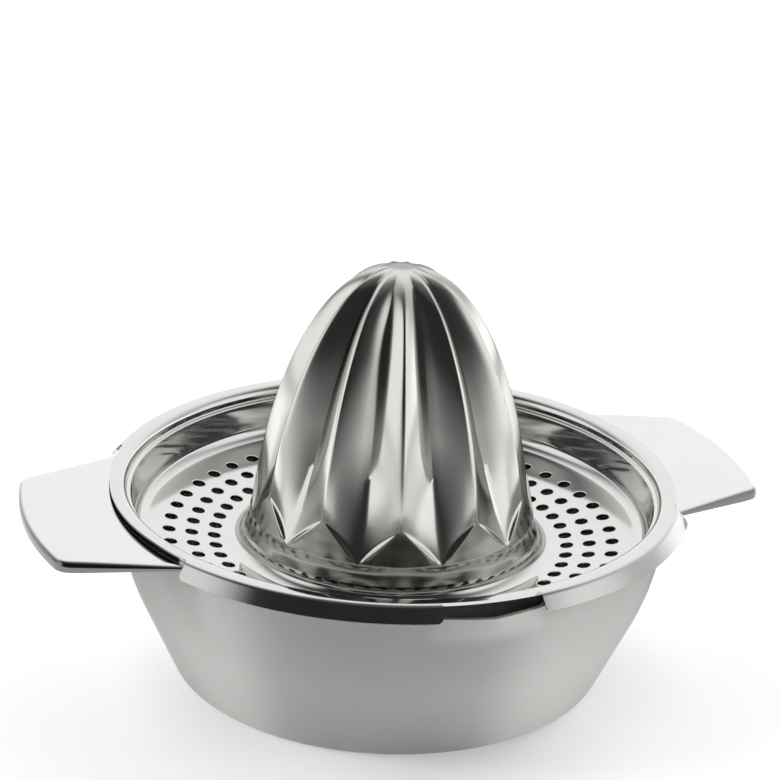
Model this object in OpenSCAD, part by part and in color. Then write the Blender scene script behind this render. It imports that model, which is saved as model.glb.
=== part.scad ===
// Hand citrus juicer in pressed steel sheet.
// A footless bowl with a V spout carries two wing handles; a perforated strainer pan with a fluted
// reamer cone rests on its rim and lifts straight off.
// Millimetres, +Z up. Origin: bowl axis on the table plane. +X points along the right handle,
// -Y along the spout.

/* [Bowl] */
// Height of the rim's top face above the table
bowl_h = 50.1; // [47:0.1:54]
// Outer radius of the bowl wall below the rim
bowl_rim_r = 72.7; // [70:0.1:76]
// Outer radius of the base, where the wall line meets the table
bowl_base_r = 58; // [55:0.5:61]
// Sheet thickness of the bowl
bowl_t = 0.8; // [0.6:0.1:1]
// Height at which the straight lower wall would reach the rim's radius
wall_knee_h = 33; // [30:0.5:36]
// Radius of the corner between base and wall
base_corner_r = 2; // [1:0.5:4]
// Upright height of the wall below the rim lip
rim_upright = 2.4; // [1.5:0.1:4]
// Width of the rim lip outside the wall
rim_lip_w = 2.3; // [1.8:0.1:2.5]
// Bend radius under the rim lip
rim_bend_r = 0.6; // [0.4:0.1:1]

/* [Spout] */
// Reach of the beak's tip past the edge of the rim lip
spout_reach = 2.1; // [1:0.1:3]
// Half width of the beak between its two shoulders
spout_half_w = 12.4; // [10:0.2:14]
// Drop of the pouring edge below the rim's top face
spout_dip = 3.1; // [2.5:0.1:4]
// Height of the beak's crease on the wall
spout_fall = 7.5; // [6:0.5:12]

/* [Handles] */
// Reach of a handle past the bowl wall
handle_reach = 25.8; // [22:0.2:34]
// Half angle that a handle spans at the edge of the rim lip, in degrees
handle_root_a = 29; // [26:0.5:32]
// Lean of the handle's side edges towards its axis, in degrees
handle_taper = 18.5; // [12:0.5:22]
// Sheet thickness of a handle
handle_t = 1; // [0.8:0.1:1.2]
// Radius of the two outer corners in plan
handle_corner_r = 5; // [4:0.5:8]
// Bend radius of the turned-down edge
handle_edge_r = 1.8; // [1.4:0.1:2.4]
// Depth of the turned-down edge at the outer end
handle_edge_h = 2.8; // [2.5:0.1:5]

/* [Strainer pan] */
// Sheet thickness of the pan
pan_t = 0.8; // [0.6:0.1:1]
// Depth from the flange's top to the floor at the neck
pan_depth = 18.6; // [16:0.1:20]
// Clearance between the pan's wall and the bowl's wall
pan_side_gap = 0.4; // [0.3:0.1:1]
// Clearance between the flange and the rim it rests on
pan_seat_gap = 0.3; // [0.2:0.1:0.5]
// Draft of the pan's wall, in degrees
wall_draft = 4; // [3:0.5:7]
// Rise of the floor towards the wall, in degrees
floor_dish = 9; // [8:0.5:12]
// Height of the drawn neck that carries the reamer
neck_h = 5; // [4.9:0.1:6.5]
// Fillet radius from the neck to the floor
neck_fillet_r = 3.8; // [2.5:0.1:3.9]
// Radius of the corner between floor and wall
floor_corner_r = 4; // [2:0.5:5]
// Radius of the bend from wall to flange
flange_bend_r = 1.6; // [1.2:0.1:2]
// Radius of the bend from flange to skirt
skirt_bend_r = 1.5; // [1.2:0.1:2]
// Width of the flange from the wall to the corner of the skirt
flange_w = 4.9; // [4.7:0.1:5.6]
// Drop of the skirt below the flange's top
skirt_drop = 3.6; // [3:0.1:4.5]
// Outward flare of the skirt over its drop
skirt_flare = 3.1; // [2.5:0.1:4.5]
// Half angle of the gap in the skirt above the spout, in degrees
spout_gap_a = 9.6; // [8:0.2:11]
// Clearance between a skirt end and the handle beside it
skirt_end_gap = 0.9; // [0.6:0.1:2]

/* [Strainer holes] */
// Diameter of a drain hole
hole_d = 3.5; // [2:0.1:3.8]
// Number of holes in each ring
hole_count = 48; // [36:1:50]
// Number of rings of holes
hole_rings = 3; // [1:1:3]
// Spacing of the rings
ring_pitch = 6; // [5:0.05:6.2]
// Distance from the neck to the first ring
ring_margin = 8.3; // [7:0.1:9]
// Turn of the hole pattern from +X, in degrees
hole_turn = 1; // [0:0.5:7]

/* [Reamer] */
// Radius of the cone at the lower ends of its flutes
cone_r = 37; // [33:0.5:38]
// Height of the cone above the lower ends of its flutes
cone_h = 67.6; // [55:0.1:75]
// Sheet thickness of the cone
cone_t = 0.8; // [0.6:0.1:1]
// Radius of the flat at the top of the cone
tip_r = 3; // [2:0.1:5]
// Number of flutes
flute_count = 11; // [8:1:12]
// Depth of a flute below its ridges
flute_depth = 6; // [3:0.1:6.5]
// Height over which a flute reaches its full depth
flute_rise_h = 30; // [24:0.5:36]
// Height over which a flute widens from its point to the full pitch
flute_point_h = 9.6; // [6:0.1:14]
// Turn of the first flute from the spout, in degrees
flute_turn = 1; // [0:0.5:15]
// Height of the flared collar below the flutes
collar_h = 4.8; // [4:0.1:6]
// Flare of the collar, in degrees from upright
collar_flare = 22; // [16:0.5:28]

/* [Hidden] */
$fn = 96;

steel = "Gainsboro";
polished_steel = "Silver";
weld_gap = 0.05;
edge_root_h = handle_t + 0.2;
flange_trim = 0.1;
cut = 1;
far = 2 * bowl_rim_r;
arc_steps = 8;

// Bowl: the lean line from the base meets the upright line under the rim at wall_knee_h.
lip_under_z = bowl_h - bowl_t;
wall_lean = atan2(bowl_rim_r - bowl_base_r, wall_knee_h);
wall_top_z = lip_under_z - rim_bend_r - rim_upright;
shoulder_r = (wall_top_z - wall_knee_h) / tan(wall_lean / 2);
rim_lip_r = bowl_rim_r + rim_lip_w;

// Spout: the beak's edge runs from the wall over two shoulders to its tip.
spout_z = bowl_h - spout_dip;
spout_tip_r = rim_lip_r + spout_reach;
spout_shoulder_y = sqrt(pow(rim_lip_r, 2) - pow(spout_half_w, 2));
spout_root_w = spout_half_w + 2 * rim_lip_w;
spout_notch_w = spout_half_w + rim_lip_w;
spout_root_y = sqrt(pow(bowl_rim_r - bowl_t, 2) - pow(spout_root_w, 2));

// Handle, along +X: its side line leaves the rim lip at handle_root and closes on the axis.
handle_r = bowl_rim_r + handle_reach;
handle_root = rim_lip_r * [cos(handle_root_a), sin(handle_root_a)];
handle_along = [cos(handle_taper), -sin(handle_taper)];
handle_out = [sin(handle_taper), cos(handle_taper)];
corner_line = handle_root - handle_corner_r * handle_out;
corner_b = corner_line * handle_along;
corner_c = corner_line * corner_line - pow(handle_r - handle_corner_r, 2);
handle_side_len = sqrt(pow(corner_b, 2) - corner_c) - corner_b;
handle_corner = corner_line + handle_side_len * handle_along;
handle_corner_a = atan2(handle_corner.y, handle_corner.x);

// Strainer pan: the flange rests on the rim, the wall stands inside the bowl.
flange_z = bowl_h + pan_seat_gap + pan_t;
pan_wall_r = bowl_rim_r - bowl_t - pan_side_gap - pan_t;
flange_r = pan_wall_r + flange_w;
foot_z = flange_z - pan_depth;
neck_r = cone_r + collar_h * tan(collar_flare);
neck_z = foot_z + neck_h;
dish_k = tan(floor_dish);
draft_k = tan(wall_draft);
floor_edge_r = (pan_wall_r - draft_k * (pan_depth + neck_r * dish_k)) / (1 - dish_k * draft_k);
floor_edge_z = foot_z + (floor_edge_r - neck_r) * dish_k;
skirt_a = atan2(skirt_drop, skirt_flare);
flange_flat_r = flange_r - skirt_bend_r * tan(skirt_a / 2) - flange_trim;
handle_gap_a = handle_root_a + asin(skirt_end_gap / rim_lip_r);

// Reamer: the flared collar stands on the neck, the fluted ogive rises from it.
flute_z = neck_z + collar_h;
ogive_p = 1.5;
ogive_q = 0.45;
fade_p = 5;
fade_q = 0.6;
half_steps = 4;
flute_steps = 2 * half_steps;
columns = flute_count * flute_steps;
point_rows = half_steps;
ogive_rows = 14;
rows = 2 + point_rows + ogive_rows;

// Points along an arc about c from angle a0 to a1
function arc(c, r, a0, a1, n) = [for (i = [0:n]) let (a = a0 + (a1 - a0) * i / n) c + r * [cos(a), sin(a)]];

function unit(v) = v / norm(v);
function left_of(v) = [-v.y, v.x];

// The corner q of the path p-q-s, replaced by an arc of radius r that touches both legs
function rounded(p, q, s, r, n) =
    let (
        u = unit(p - q),
        v = unit(s - q),
        half = acos(u * v) / 2,
        c = q + unit(u + v) * r / sin(half),
        a0 = atan2((q + u * r / tan(half) - c).y, (q + u * r / tan(half) - c).x),
        a1 = atan2((q + v * r / tan(half) - c).y, (q + v * r / tan(half) - c).x),
        turn = (a1 - a0 + 540) % 360 - 180
    )
    arc(c, r, a0, a0 + turn, n);

// A path through corners, each rounded to its own radius
function rounded_path(corners, radii) = [
    corners[0],
    for (i = [1:len(corners) - 2])
        each rounded(corners[i - 1], corners[i], corners[i + 1], radii[i - 1], arc_steps),
    corners[len(corners) - 1]
];

// The same path moved to its left by d
function beside(path, d) = [
    for (i = [0:len(path) - 1])
        let (
            a = left_of(unit(path[max(i, 1)] - path[max(i, 1) - 1])),
            b = left_of(unit(path[min(i, len(path) - 2) + 1] - path[min(i, len(path) - 2)]))
        )
        path[i] + d * (a + b) / (1 + a * b)
];

function reversed(path) = [for (i = [len(path) - 1:-1:0]) path[i]];

// Section of a sheet whose one face follows the path
module sheet(path, d) {
    polygon(concat(path, reversed(beside(path, d))));
}

bowl_path = rounded_path(
    [[0, 0], [bowl_base_r, 0], [bowl_rim_r, wall_knee_h], [bowl_rim_r, lip_under_z], [rim_lip_r, lip_under_z]],
    [base_corner_r, shoulder_r, rim_bend_r]
);

pan_path = rounded_path(
    [
        [neck_r, neck_z - weld_gap],
        [neck_r, foot_z],
        [floor_edge_r, floor_edge_z],
        [pan_wall_r, flange_z],
        [flange_r, flange_z],
        [flange_r + skirt_flare, flange_z - skirt_drop]
    ],
    [neck_fillet_r, floor_corner_r, flange_bend_r, skirt_bend_r]
);

// Solid of the beak: a point-down pyramid whose top face is the pouring edge
module beak() {
    crease_z = spout_z - spout_fall;
    edge = [
        [-spout_root_w, -spout_root_y],
        [-spout_half_w, -spout_shoulder_y],
        [0, -spout_tip_r],
        [spout_half_w, -spout_shoulder_y],
        [spout_root_w, -spout_root_y]
    ];
    top = [for (p = edge) [p.x, p.y, spout_z]];
    foot = [[0, -spout_root_y, crease_z]];
    polyhedron(
        points = concat(top, foot),
        faces = [[4, 3, 2, 1, 0], [0, 1, 5], [1, 2, 5], [2, 3, 5], [3, 4, 5], [4, 0, 5]]
    );
}

module juice_bowl() {
    inside = beside(bowl_path, bowl_t);
    inside_top = inside[len(inside) - 1];
    // An upward and inward shift of t leaves the beak's slanted sides about one sheet thick.
    shift = bowl_t / (sin(wall_lean) + cos(wall_lean));
    color(steel)
    difference() {
        union() {
            rotate_extrude() sheet(bowl_path, bowl_t);
            beak();
        }
        rotate_extrude() polygon(concat(inside, [[0, inside_top.y]]));
        translate([0, shift, shift]) beak();
        translate([-spout_notch_w, -far, spout_z]) cube([2 * spout_notch_w, far, spout_dip + cut]);
    }
}

// Edge line of a handle, moved inwards by inset, from its +Y root round the outer end to its -Y root
function handle_edge(inset) =
    let (
        side = [handle_root - inset * handle_out],
        corner = arc(handle_corner, handle_corner_r - inset, 90 - handle_taper, handle_corner_a, arc_steps),
        end = arc([0, 0], handle_r - inset, handle_corner_a, 0, arc_steps),
        half = concat(side, corner, [for (i = [1:arc_steps]) end[i]])
    )
    concat(half, [for (i = [len(half) - 2:-1:0]) [half[i].x, -half[i].y]]);

// Depth of the turned-down edge at x: full at the outer corners, running out at the rim
function edge_depth(x) =
    let (share = (x - handle_root.x) / (handle_corner.x - handle_root.x))
    edge_root_h + (handle_edge_h - edge_root_h) * min(max(share, 0), 1);

// Section of the sheet at the edge as [inset, height]: upper face, from the plate out and down
edge_upper = concat(
    [for (a = [0:90 / arc_steps:90]) handle_edge_r * [1 - sin(a), cos(a) - 1]],
    [[0, -handle_edge_h]]
);

// Lower face of the same section, from the plate out and down
edge_lower = concat(
    [
        for (a = [0:90 / arc_steps:90])
            [handle_edge_r, -handle_edge_r] + (handle_edge_r - handle_t) * [-sin(a), cos(a)]
    ],
    [[handle_t, -handle_edge_h]]
);

// One line of points round the handle, its drop below base_z scaled to the depth of the edge there
function edge_ring(inset, z, base_z) = [
    for (p = handle_edge(inset))
        [p.x, p.y, base_z + (z - base_z) * (edge_depth(p.x) + base_z) / (handle_edge_h + base_z)]
];

// Root line of a handle, under the rim lip that it is welded to
function seat_ring(z, m) =
    let (root = handle_root - handle_edge_r * handle_out, a = atan2(root.y, root.x))
    [for (p = arc([0, 0], bowl_rim_r + rim_bend_r, a, -a, m - 1)) [p.x, p.y, z]];

module handle() {
    m = len(handle_edge(0));
    upper = concat([seat_ring(0, m)], [for (e = edge_upper) edge_ring(e[0], e[1], 0)]);
    lower = concat([seat_ring(-handle_t, m)], [for (e = edge_lower) edge_ring(e[0], e[1], -handle_t)]);
    rings = concat(upper, reversed(lower));
    n = len(rings);
    color(steel)
    translate([0, 0, lip_under_z])
    polyhedron(
        points = [for (ring = rings) each ring],
        faces = concat(
            [
                for (i = [0:n - 1], j = [0:m - 2])
                    let (a = i * m + j, b = (i + 1) % n * m + j)
                    each cell(a + 1, a, b, b + 1, true)
            ],
            [
                for (i = [0:len(upper) - 2])
                    let (u = i * m, l = (n - 1 - i) * m)
                    each concat(
                        cell(u + m, u, l, l - m, true),
                        cell(u + m - 1, u + 2 * m - 1, l - 1, l + m - 1, true)
                    )
            ]
        )
    );
}

module left_handle() {
    rotate([0, 0, 180]) handle();
}

module right_handle() {
    handle();
}

// Wedge that clears the skirt, but not the flange, over a half angle about +X
module skirt_gap(half_a) {
    difference() {
        translate([0, 0, foot_z])
            linear_extrude(pan_depth + cut)
            polygon([[0, 0], far * [cos(half_a), -sin(half_a)], far * [cos(half_a), sin(half_a)]]);
        translate([0, 0, foot_z - cut]) cylinder(r = flange_flat_r, h = pan_depth + 3 * cut);
    }
}

module strainer_pan() {
    color(steel)
    difference() {
        rotate_extrude() sheet(pan_path, -pan_t);
        for (i = [0:hole_rings - 1], j = [0:hole_count - 1])
            rotate([0, 0, hole_turn + j * 360 / hole_count])
            translate([neck_r + ring_margin + i * ring_pitch, 0, foot_z - 2 * pan_t])
            cylinder(d = hole_d, h = pan_depth, $fn = 24);
        for (a = [0, 180]) rotate([0, 0, a]) skirt_gap(handle_gap_a);
        rotate([0, 0, -90]) skirt_gap(spout_gap_a);
    }
}

// Radius of the cone's ridges at height h, for a cone of foot radius r0 and height h0
function ridge_r(h, r0, h0) =
    let (span = h0 / pow(1 - pow(tip_r / cone_r, 1 / ogive_q), 1 / ogive_p))
    r0 * pow(1 - pow(max(h, 0) / span, ogive_p), ogive_q);

// Depth of the flutes at height h and the step j round the cone: it runs out at the lower point and at the top
function flute(h, h0, j) =
    let (
        off = abs((j + half_steps) % flute_steps - half_steps) / half_steps,
        width = min(1, h / flute_point_h),
        rise = sin(90 * min(1, h / flute_rise_h)),
        fade = pow(max(0, 1 - pow(h / h0, fade_p)), fade_q)
    )
    h <= 0 || off >= width ? 0 : flute_depth * rise * fade * (1 - off);

// Height above the flutes' lower ends of row i of the fluted part
function flute_row_h(i, h0) =
    i <= point_rows
        ? flute_point_h * i / point_rows
        : h0 - (h0 - flute_point_h) * pow(1 - (i - point_rows) / ogive_rows, 1.8);

// Ridge radius, height and fluted height of row i of a shell that lies d inside the cone
function cone_row(i, d) =
    i == 0
        ? [neck_r - d, neck_z, 0]
        : let (h = flute_row_h(i - 1, cone_h - d))
          [ridge_r(h, cone_r - d, cone_h - d), flute_z + h, h];

function cone_point(i, j, d) =
    let (
        row = cone_row(i, d),
        r = row[0] - flute(row[2], cone_h - d, j),
        a = flute_turn - 90 + 360 * j / columns
    )
    [r * cos(a), r * sin(a), row[1]];

// Two triangles of one cell, split along the slanted edge of the flute's point
function cell(a, b, c, d, slant) = slant ? [[a, b, c], [a, c, d]] : [[a, b, d], [b, c, d]];

// Faces of one shell, wound outwards, whose points start at index s and whose top point is at index t
function shell_faces(s, t) = concat(
    [
        for (i = [0:rows - 2], j = [0:columns - 1])
            let (
                k = (j + 1) % columns,
                a = s + i * columns + j,
                b = s + i * columns + k,
                slant = j % flute_steps < half_steps
            )
            each cell(a, a + columns, b + columns, b, slant)
    ],
    [for (j = [0:columns - 1]) [s + (rows - 1) * columns + j, t, s + (rows - 1) * columns + (j + 1) % columns]]
);

function flipped(faces) = [for (f = faces) [f[0], f[2], f[1]]];

module reamer_cone() {
    shell_size = rows * columns;
    outer = [for (i = [0:rows - 1], j = [0:columns - 1]) cone_point(i, j, 0)];
    inner = [for (i = [0:rows - 1], j = [0:columns - 1]) cone_point(i, j, cone_t)];
    tops = [[0, 0, flute_z + cone_h], [0, 0, flute_z + cone_h - cone_t]];
    foot = [
        for (j = [0:columns - 1])
            let (k = (j + 1) % columns)
            each [[j, k, shell_size + j], [k, shell_size + k, shell_size + j]]
    ];
    color(polished_steel)
    polyhedron(
        points = concat(outer, inner, tops),
        faces = concat(
            shell_faces(0, 2 * shell_size),
            flipped(shell_faces(shell_size, 2 * shell_size + 1)),
            foot
        )
    );
}

juice_bowl();
left_handle();
right_handle();
strainer_pan();
reamer_cone();
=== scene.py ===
"""Looks of a hand citrus juicer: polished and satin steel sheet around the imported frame.

Every size is in metres. The visible sheets are drawn again at full smoothness from the frame's own sizes,
so that the steel mirrors its surroundings without facets.
"""

import math

import bmesh
import bpy
from bpy.props import FloatProperty, FloatVectorProperty, IntProperty, PointerProperty
from mathutils import Matrix, Vector


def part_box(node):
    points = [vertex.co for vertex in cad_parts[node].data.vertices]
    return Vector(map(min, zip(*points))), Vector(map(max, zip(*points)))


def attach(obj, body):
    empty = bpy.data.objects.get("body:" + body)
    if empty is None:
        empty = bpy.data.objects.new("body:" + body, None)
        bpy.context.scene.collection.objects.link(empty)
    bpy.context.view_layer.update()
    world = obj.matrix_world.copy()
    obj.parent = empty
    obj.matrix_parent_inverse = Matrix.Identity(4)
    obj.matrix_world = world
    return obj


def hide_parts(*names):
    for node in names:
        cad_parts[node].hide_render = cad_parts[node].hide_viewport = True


bl_info = {
    "name": "Citrus juicer looks",
    "version": (1, 0, 0),
    "blender": (4, 5, 0),
    "location": "3D View > Sidebar > Juicer",
    "description": "Draws the steel sheets of a hand citrus juicer and its studio",
    "category": "Object",
}

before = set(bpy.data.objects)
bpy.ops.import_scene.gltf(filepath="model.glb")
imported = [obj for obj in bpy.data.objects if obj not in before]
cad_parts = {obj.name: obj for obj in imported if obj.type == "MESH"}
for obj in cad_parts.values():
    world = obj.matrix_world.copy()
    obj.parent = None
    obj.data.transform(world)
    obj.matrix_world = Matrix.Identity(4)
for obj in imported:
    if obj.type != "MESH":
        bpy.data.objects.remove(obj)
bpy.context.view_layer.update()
BOWL_LOW, BOWL_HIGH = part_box("juice_bowl")
WING_LOW, WING_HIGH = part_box("right_handle")
PAN_LOW, PAN_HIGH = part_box("strainer_pan")
CONE_LOW, CONE_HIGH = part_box("reamer_cone")
MM = 0.001


def length(name, text, default):
    return FloatProperty(name=name, description=text, default=default, unit="LENGTH", precision=5)


def angle(name, text, degrees):
    return FloatProperty(name=name, description=text, default=math.radians(degrees), subtype="ANGLE")


def share(name, text, default):
    return FloatProperty(name=name, description=text, default=default, min=0.0, max=1.0, subtype="FACTOR")


def number(name, text, default):
    return FloatProperty(name=name, description=text, default=default)


def count(name, text, default):
    return IntProperty(name=name, description=text, default=default, min=1)


def colour(name, text, default):
    return FloatVectorProperty(name=name, description=text, default=default, size=3, subtype="COLOR",
                               min=0, max=1)


class BowlSizes(bpy.types.PropertyGroup):
    """Sizes of the bowl and its spout"""

    height: length("Height", "Top of the rim above the table", BOWL_HIGH.z)
    lip_r: length("Lip radius", "Outer edge of the rim lip", BOWL_HIGH.x)
    rim_r: length("Rim radius", "Outer face of the wall under the lip", BOWL_HIGH.x - 2.3 * MM)
    base_r: length("Base radius", "Where the wall line meets the table", 58 * MM)
    sheet: length("Sheet", "Thickness of the bowl's sheet", 0.8 * MM)
    knee_h: length("Knee", "Height at which the lower wall's line reaches the rim radius", 33 * MM)
    base_corner_r: length("Base corner", "Radius between base and wall", 2 * MM)
    upright: length("Upright", "Straight wall below the lip's bend", 2.4 * MM)
    bend_r: length("Lip bend", "Radius under the lip", 0.6 * MM)
    tip_r: length("Spout tip", "Reach of the spout's tip from the axis", -BOWL_LOW.y)
    spout_half_w: length("Spout half width", "Half width between the spout's shoulders", 12.4 * MM)
    spout_root_w: length("Spout root", "Half width where the spout leaves the round rim", 17 * MM)
    spout_dip: length("Spout dip", "Drop of the pouring edge below the rim", 3.1 * MM)
    spout_fall: length("Spout crease", "Height of the crease under the spout's tip", 7.5 * MM)


class HandleSizes(bpy.types.PropertyGroup):
    """Sizes of the two wing handles"""

    reach: length("Reach", "Outer end of a handle from the bowl's axis", WING_HIGH.x)
    top: length("Top", "Top face above the table", WING_HIGH.z)
    edge_h: length("Edge depth", "Depth of the turned-down edge", WING_HIGH.z - WING_LOW.z)
    edge_root_h: length("Edge at the root", "Depth of the edge where it runs out at the rim", 1.2 * MM)
    edge_r: length("Edge bend", "Bend radius of the turned-down edge", 1.8 * MM)
    sheet: length("Sheet", "Thickness of a handle's sheet", 1 * MM)
    root_angle: angle("Root angle", "Half angle of the root at the lip's edge", 29)
    taper: angle("Taper", "Lean of the sides towards the handle's axis", 18.5)
    corner_r: length("Corner", "Radius of the outer corners", 5 * MM)


class StrainerSizes(bpy.types.PropertyGroup):
    """Sizes of the perforated strainer pan"""

    flange_z: length("Flange top", "Top of the flange above the table", PAN_HIGH.z)
    depth: length("Depth", "From the flange's top to the floor at the neck", 18.6 * MM)
    sheet: length("Sheet", "Thickness of the pan's sheet", 0.8 * MM)
    wall_r: length("Wall radius", "Inner face of the wall at the flange", 70.7 * MM)
    draft: angle("Draft", "Draft of the wall", 4)
    dish: angle("Dish", "Rise of the floor towards the wall", 9)
    floor_corner_r: length("Floor corner", "Radius between floor and wall", 4 * MM)
    flange_bend_r: length("Flange bend", "Radius from wall to flange", 1.6 * MM)
    rim_bend_r: length("Rim bend", "Radius of the upper face from wall to flange", 2.4 * MM)
    ledge_drop: length("Ledge drop", "Drop of the ledge in the wall below the flange", 3.4 * MM)
    ledge_w: length("Ledge width", "Width of the ledge in the wall", 1.1 * MM)
    ledge_rise: length("Ledge rise", "Rise of the ledge towards the wall", 0.15 * MM)
    ledge_r: length("Ledge corners", "Radius of the ledge's corners", 0.4 * MM)
    skirt_bend_r: length("Skirt bend", "Radius from flange to skirt", 1.5 * MM)
    flange_w: length("Flange width", "From the wall to the corner of the skirt", 4.9 * MM)
    skirt_r: length("Skirt radius", "Lower edge of the skirt from the axis", PAN_HIGH.y)
    skirt_drop: length("Skirt drop", "Drop of the skirt below the flange's top", 3.6 * MM)
    skirt_corner_r: length("Skirt corners", "Rounding of the skirt's lower corners", 1.7 * MM)
    handle_gap: angle("Handle gap", "Half angle of the skirt's gap over a handle", 29.7)
    spout_gap: angle("Spout gap", "Half angle of the skirt's gap over the spout", 9.6)
    hole_d: length("Holes", "Diameter of a drain hole", 3.5 * MM)
    hole_count: count("Holes in a ring", "Number of holes in each ring", 48)
    hole_rings: count("Rings", "Number of rings of holes", 3)
    ring_pitch: length("Ring pitch", "Spacing of the rings", 6 * MM)
    ring_margin: length("First ring", "From the neck to the first ring", 8.3 * MM)
    neck_h: length("Neck", "Height of the drawn neck that carries the reamer", 5 * MM)
    neck_fillet_r: length("Neck fillet", "Radius from neck to floor", 3.8 * MM)
    hole_turn: angle("Hole turn", "Turn of the holes from the right handle", 1)
    hole_edge: length("Hole edge", "Rounding of a hole's punched edge", 0.16 * MM)


class ReamerSizes(bpy.types.PropertyGroup):
    """Sizes of the fluted reamer cone"""

    top: length("Top", "Top of the cone above the table", CONE_HIGH.z)
    cone_r: length("Radius", "Radius at the lower ends of the flutes", 37 * MM)
    cone_h: length("Height", "Height above the lower ends of the flutes", 67.6 * MM)
    sheet: length("Sheet", "Thickness of the cone's sheet", 0.8 * MM)
    tip_r: length("Flat", "Radius of the flat at the top", 3 * MM)
    flutes: count("Flutes", "Number of flutes", 11)
    flute_depth: length("Flute depth", "Depth of a flute below its ridges", 6 * MM)
    rise_h: length("Flute rise", "Height over which a flute reaches its full depth", 30 * MM)
    point_h: length("Flute point", "Height over which a flute widens", 9.6 * MM)
    edge_drop: length("Flute edge", "Fall of a flute's lower edge over half its pitch", 9 * MM)
    edge_soft: length("Flute edge rounding", "Rounding at the foot of a flute's lower edge", 0.12 * MM)
    turn: angle("Turn", "Turn of the first flute from the spout", 1)
    collar_h: length("Collar", "Height of the flared collar below the flutes", 4.8 * MM)
    collar_flare: angle("Collar flare", "Flare of the collar from upright", 22)
    collar_ease: length("Collar ease", "Rounding between the collar and the cone", 1.6 * MM)
    collar_wave: length("Collar wave", "Unevenness of the pressed collar under the flutes", 0.12 * MM)
    groove_soft: share("Groove rounding", "Rounding of a flute's bottom, as a share of its half width", 0.03)
    ridge_soft: share("Ridge rounding", "Rounding of the ridges, as a share of the half width", 0.07)


class SteelLook(bpy.types.PropertyGroup):
    """Finish of the steel"""

    satin: colour("Satin steel", "Colour of the bowl's satin steel", (0.77, 0.762, 0.745))
    polished: colour("Polished steel", "Colour of the strainer's polished steel", (0.64, 0.634, 0.62))
    wing: colour("Handle steel", "Colour of the handles' polished steel", (0.70, 0.694, 0.685))
    reamer: colour("Reamer steel", "Colour of the reamer's polished steel", (0.66, 0.652, 0.625))
    # Painted dark reflection: colour that darkens the handles' turned-down edges, standing in for the dark
    # surroundings they mirror.
    painted_wing_reflection: colour("Handle edge", "Colour of the handles' burnished edge", (0.2, 0.198, 0.19))
    # Painted shade: near black laid on the bowl lip's outer edge and the flange's outer edge over each handle,
    # for the shaded gap between the flange and the handle.
    painted_gap_shade: colour("Cut edge", "Colour of the cut flange and the weld over a handle", (0.02, 0.02, 0.02))
    satin_rough: share("Satin roughness", "Roughness of the satin bowl", 0.6)
    satin_glance: share("Satin glance", "Share of light that the satin keeps at a glancing angle", 0.1)
    reamer_glance: share("Reamer glance", "Share of light that the reamer keeps at a glancing angle", 0.3)
    brushing: share("Brushing", "How far the satin bowl spreads its reflections across the brushing", 0.99)
    polished_rough: share("Polished roughness", "Roughness of the polished sheets", 0.08)
    reamer_rough: share("Reamer roughness", "Roughness of the reamer", 0.14)
    line_pitch: length("Turning lines", "Spacing of the turning lines", 0.35 * MM)
    satin_lines: share("Satin lines", "Strength of the turning lines on the bowl", 0.35)
    polished_lines: share("Polished lines", "Strength of the turning lines on pan and handles", 0.12)
    reamer_lines: share("Reamer lines", "Strength of the turning lines on the reamer", 0.08)
    # Where the painted gap shade lies over the handles, on the bowl's lip and on the pan's flange.
    gap_shade_half_w: length("Seam half width", "Half width of the dark edges over a handle", 35 * MM)
    lip_shade_w: length("Seam width", "Width of the dark weld, in from the lip's edge", 0.8 * MM)
    lip_shade_fade: length("Seam fade", "Height over which the weld darkens, each way", 0.1 * MM)
    flange_shade_at: length("Cut edge place", "From the pan's wall out to the dark cut edge", 3 * MM)
    flange_shade_start: length("Cut edge start", "Depth under the flange at which the cut edge starts", 0.2 * MM)
    flange_shade_end: length("Cut edge end", "Depth under the flange at which the cut edge is dark", 0.6 * MM)
    # Depths under a handle's top where the painted dark reflection starts and where it is full.
    wing_reflection_start: length("Burnish start", "Depth under a handle's top at which its edge starts", 0.1 * MM)
    wing_reflection_end: length("Burnish end", "Depth under a handle's top at which it is burnished", 0.7 * MM)


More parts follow.
